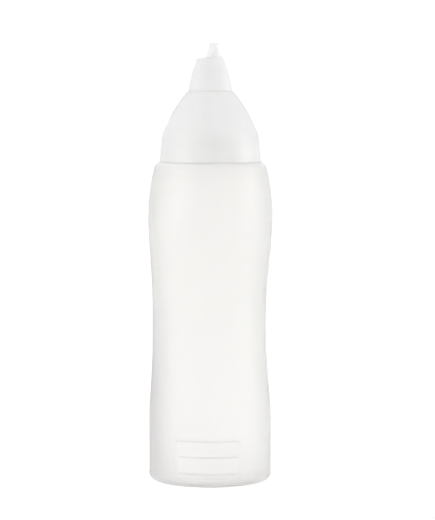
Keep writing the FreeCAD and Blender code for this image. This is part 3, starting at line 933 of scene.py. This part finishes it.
@dataclass
class Nozzle:
    """The tapered nozzle that sits on the spigot, with a bored tip to one side of its axis."""

    low: float = 256.46
    seat: float = 275.6
    low_radius: float = 14.3
    seat_radius: float = 9.3
    bulge: float = 110.0
    wall: float = 1.3
    corner: float = 1.4
    roof: float = 277.3
    roof_rise: float = 1.4
    tip_offset: float = 2.4
    tip_radius: float = 5.2
    tip_end_radius: float = 2.9
    tip_height: float = 287.6
    tip_round: float = 0.4
    root_wall: float = 2.0
    tip_wall: float = 1.3
    root_round: float = 1.4
    root_level: float = 0.55
    root_spread: float = 0.9
    root_edge: float = 0.15
    tool_over: float = 1.0
    columns: int = 128
    tip_columns: int = 96
    bore_columns: int = 72

    def side_circle(self) -> tuple[Point, float, float]:
        """Works out the arc of the tapered side.

        Returns:
            The arc's centre, and its angles in degrees at the lower edge and at the seat.
        """
        chord = (self.seat_radius - self.low_radius, self.seat - self.low)
        length = math.hypot(*chord)
        reach = math.sqrt(self.bulge ** 2 - (length / 2) ** 2)
        centre = ((self.low_radius + self.seat_radius) / 2 - chord[1] / length * reach,
                  (self.low + self.seat) / 2 + chord[0] / length * reach)
        return (centre, angle_at(self.low, centre, self.bulge), angle_at(self.seat, centre, self.bulge))

    def shell_outline(self) -> Outline:
        """Traces the tapered side and the roof.

        Returns:
            The outline, from the middle of the roof down the outside and up the inside.
        """
        centre, low_angle, high_angle = self.side_circle()
        steep = math.radians(high_angle)
        roof_radius = self.seat_radius - (self.roof - self.seat) * math.tan(steep)
        crown = (0.0, self.roof + self.roof_rise)
        edge = (roof_radius, self.roof)
        roof_slope = math.atan2(self.roof_rise, roof_radius)
        bend = math.pi / 2 - steep - roof_slope
        back = self.corner * math.tan(bend / 2)
        on_roof = (edge[0] - back * math.cos(roof_slope), edge[1] + back * math.sin(roof_slope))
        middle = (on_roof[0] - self.corner * math.sin(roof_slope),
                  on_roof[1] - self.corner * math.cos(roof_slope))
        inner = self.bulge - self.wall
        inner_low, inner_high = (angle_at(level, centre, inner) for level in (self.low, self.seat))
        outline = Outline(crown)
        outline.line(on_roof, step=1.5)
        outline.arc(middle, self.corner, 90 - math.degrees(roof_slope), high_angle, step=0.3)
        outline.line((self.seat_radius, self.seat))
        outline.arc(centre, self.bulge, high_angle, low_angle, step=1.2)
        outline.line(on_circle(centre, inner, inner_low))
        outline.arc(centre, inner, inner_low, inner_high, step=1.2)
        outline.line((0.0, self.seat))
        return outline

    def tip_outline(self) -> Outline:
        """Traces the tip, with a flared root and a rounded end.

        Returns:
            The outline, from below the roof up to the middle of the end.
        """
        roof_at = self.roof + self.roof_rise * self.root_level
        lean = math.atan2(self.tip_radius - self.tip_end_radius, self.tip_height - self.seat)
        root = self.tip_radius - (roof_at + self.root_round - self.seat) * math.tan(lean)
        spread = root + self.root_round * self.root_spread
        outline = Outline((0.0, roof_at - self.tool_over))
        outline.line((spread, roof_at - self.tool_over), step=1.0)
        outline.line((spread, roof_at - self.root_edge))
        outline.arc((root + self.root_round, roof_at + self.root_round), self.root_round, 262, 180,
                    step=0.15)
        top = self.tip_height - self.tip_round
        outline.line((self.tip_end_radius + self.tip_round * math.tan(lean), top), step=1.0)
        outline.arc((self.tip_end_radius - self.tip_round, top), self.tip_round, 0, 90, step=0.12)
        outline.line((0.0, self.tip_height), step=1.0)
        return outline

    def bore_outline(self) -> Outline:
        """Traces the bore.

        Returns:
            The outline, from below the seat to above the end of the tip.
        """
        low, high = self.tip_radius - self.root_wall, self.tip_end_radius - self.tip_wall
        more = (low - high) / (self.tip_height - self.seat) * self.tool_over
        bottom, top = self.seat - self.tool_over, self.tip_height + self.tool_over
        outline = Outline((0.0, bottom))
        outline.line((low + more, bottom), step=1.0)
        outline.line((high - more, top), step=1.0)
        outline.line((0.0, top), step=1.0)
        return outline

    def build(self, material: Material) -> Object:
        """Builds the nozzle, with its tip joined on and its bore cut.

        Args:
            material: The moulded plastic.

        Returns:
            The nozzle as one closed skin.
        """
        nozzle = show("nozzle_cap", Lathe("nozzle", even_columns(self.columns)).mesh(self.shell_outline()))
        tools = []
        for name, count, outline, operation in (
                ("tip", self.tip_columns, self.tip_outline(), "UNION"),
                ("bore", self.bore_columns, self.bore_outline(), "DIFFERENCE")):
            lathe = Lathe(name, even_columns(count), axis=self.tip_offset)
            tools.append(show(f"{name}_tool", lathe.mesh(outline)))
            cut = nozzle.modifiers.new(name, "BOOLEAN")
            cut.object = tools[-1]
            cut.operation = operation
            cut.solver = "EXACT"
        mesh = evaluated(nozzle)
        nozzle.modifiers.clear()
        nozzle.data = mesh
        for tool in tools:
            bpy.data.objects.remove(tool)
        mesh.shade_smooth()
        mesh.set_sharp_from_angle(angle=SHARP_ANGLE)
        mesh.materials.clear()
        mesh.materials.append(material)
        return nozzle


@dataclass
class Studio:
    """A white sweep with plain soft light, and the camera in front."""

    heading: float = 2.0
    distance: float = 1382.3
    aside: float = 4.7
    eye: float = 250.5
    tilt: float = 4.357
    lens: float = 145.4
    sensor: float = 36.0
    fill: float = 0.845
    side_watts: float = 3.9
    tint: str = "#fffefe"
    backdrop: float = 1.02
    paper: str = "#fdfdfd"
    floor_seen: float = 0.8
    floor_glow: float = 1.08
    floor_half: float = 3.0
    lamps_at: tuple[tuple[str, float, float], ...] = (
        ("soft_box_left", -62.0, 1.0), ("soft_box_right", 88.5, 1.2))
    lamp_size: Point = (0.4, 0.5)
    lamp_place: tuple[float, float, float] = (0.0, -1.4, 0.35)
    lamp_pitch: float = 81.4
    bounces: int = 24
    diffuse_bounces: int = 14

    def camera(self) -> None:
        """Adds the camera."""
        lens = bpy.data.cameras.new("camera")
        lens.sensor_fit = "VERTICAL"
        lens.sensor_height = self.sensor
        lens.lens = self.lens
        lens.clip_end = 100.0
        camera = show("camera", lens)
        turn = Matrix.Rotation(math.radians(self.heading), 4, "Z")
        place = Matrix.Translation(Vector((self.aside, -self.distance, self.eye)) * MM)
        camera.matrix_world = turn @ place @ Matrix.Rotation(math.radians(90 - self.tilt), 4, "X")
        bpy.context.scene.camera = camera

    def lamps(self) -> None:
        """Adds two tall soft boxes, one to each side."""
        for name, azimuth, share in self.lamps_at:
            light = bpy.data.lights.new(name, "AREA")
            light.shape = "RECTANGLE"
            light.size, light.size_y = self.lamp_size
            light.energy = self.side_watts * share
            light.color = linear(self.tint)[:3]
            lamp = show(name, light)
            turn = Matrix.Rotation(math.radians(azimuth), 4, "Z")
            pitch = Matrix.Rotation(math.radians(self.lamp_pitch), 4, "X")
            lamp.matrix_world = turn @ Matrix.Translation(self.lamp_place) @ pitch

    @staticmethod
    def shown(tree: NodeTree, eye: float) -> Node:
        """Tells rays that show the surroundings from rays that only light the object.

        Args:
            tree: The tree.
            eye: The share for a ray straight from the camera.

        Returns:
            That share, 1 for mirrored and let-through rays, and 0 for soft light.
        """
        path = add_node(tree, "ShaderNodeLightPath").outputs
        seen = calculate(tree, "MULTIPLY", path["Is Camera Ray"], eye)
        mirrored = calculate(tree, "MAXIMUM", seen, path["Is Glossy Ray"])
        return calculate(tree, "MAXIMUM", mirrored, path["Is Transmission Ray"])

    def world(self) -> None:
        """Makes the surroundings white where they are seen or mirrored, and a plain level for soft light."""
        world = bpy.data.worlds.new("studio")
        bpy.context.scene.world = world
        world.use_nodes = True
        tree = world.node_tree
        tree.nodes.clear()
        level = add_node(tree, "ShaderNodeMapRange", Value=self.shown(tree, 1.0), To_Min=self.fill,
                         To_Max=self.backdrop)
        light = add_node(tree, "ShaderNodeBackground", Color=linear(self.tint), Strength=level)
        add_node(tree, "ShaderNodeOutputWorld", Surface=light)

    def floor(self) -> Object:
        """Adds the floor, which is white to the eye and keeps the object's shadow.

        Returns:
            The floor.
        """
        material = bpy.data.materials.new("matt_white_paper")
        material.use_nodes = True
        tree = material.node_tree
        tree.nodes.clear()
        paper = add_node(tree, "ShaderNodeBsdfDiffuse", Color=linear(self.paper))
        glow = add_node(tree, "ShaderNodeEmission", Color=linear(self.tint), Strength=self.floor_glow)
        both = add_node(tree, "ShaderNodeMixShader", at_0=self.shown(tree, self.floor_seen), at_1=paper,
                        at_2=glow)
        add_node(tree, "ShaderNodeOutputMaterial", Surface=both)
        mesh = bpy.data.meshes.new("floor")
        half = self.floor_half
        corners = [(-half, -half, 0), (half, -half, 0), (half, half, 0), (-half, half, 0)]
        mesh.from_pydata(corners, [], [(0, 1, 2, 3)])
        mesh.materials.append(material)
        return show("floor", mesh)

    def build(self) -> None:
        """Sets the whole studio up."""
        scene = bpy.context.scene
        scene.view_settings.view_transform = "Standard"
        scene.cycles.max_bounces = self.bounces
        scene.cycles.diffuse_bounces = self.diffuse_bounces
        scene.cycles.transmission_bounces = self.bounces
        self.world()
        self.lamps()
        self.camera()
        self.floor()


# Blown low-density polyethylene: milky and soft to the touch, so that the far wall shows through as a blur.
# The wall is greyer at its thick heel; the same grey is painted shade near the floor, low on the left side,
# at the panel's upper step and under each rule.
# It is whiter over the panel and at the shoulder, and painted highlight lines run whiter along the panel's
# edges and rules.
BLOWN_LDPE = MilkyPlastic(
    name="blown_ldpe", colour="#fefefd", ior=1.3, roughness=0.6, clearness=(0.87, 0.72),
    height=(20.0, 200.0), skin=0.3, skin_roughness=0.35, grain=1.4, grain_height=0.004,
    shade_and_milk=WallShadeAndMilk(dense_colour="#f1f0f0", milky_clearness=0.35, milky_roughness=0.95))
# Injection-moulded polypropylene: denser than the bottle, with a fine satin from the tool.
MOULDED_PP = MilkyPlastic(
    name="moulded_polypropylene", colour="#fcfcfc", ior=1.2, roughness=0.6, clearness=(0.46, 0.32),
    height=(248.0, 257.0), skin=0.7, skin_roughness=0.42, grain=0.9, grain_height=0.002)
# Injection-moulded low-density polyethylene: a thin satin wall that glows where light falls through it.
MOULDED_LDPE = MilkyPlastic(
    name="moulded_ldpe", colour="#fefefe", ior=1.18, roughness=0.6, clearness=(0.46, 0.3),
    height=(271.0, 277.0), skin=0.5, skin_roughness=0.35, grain=0.9, grain_height=0.002)


def hand_over(piece: Object, slot: Slot, *nodes: str) -> None:
    """Gives a finished piece to the frame.

    Args:
        piece: The piece.
        slot: The record's slot for its finish; not used.
        nodes: The solids that it stands for.
    """
    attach(piece, "root")
    if nodes:
        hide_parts(*nodes)
    LOG.info("%s: %d faces", piece.name, len(piece.data.polygons))


def main() -> None:
    """Builds the bottle, its cap, its nozzle and the studio."""
    logging.basicConfig(level=logging.INFO, format="%(name)s: %(message)s", force=True)
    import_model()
    panel = WritingPanel()
    blown, capped, moulded = BLOWN_LDPE.material(), MOULDED_PP.material(), MOULDED_LDPE.material()
    bottle = BottleBody(panel=panel)
    hand_over(bottle.build(blown), Slot.BOTTLE, "bottle_body")
    hand_over(bottle.pinch(blown), Slot.BOTTLE)
    hand_over(panel.rules(blown), Slot.BOTTLE)
    hand_over(DomeCap().build(capped), Slot.CAP, "dome_cap")
    hand_over(Nozzle().build(moulded), Slot.NOZZLE, "nozzle")
    Studio().build()


if __name__ == "__main__":
    main()
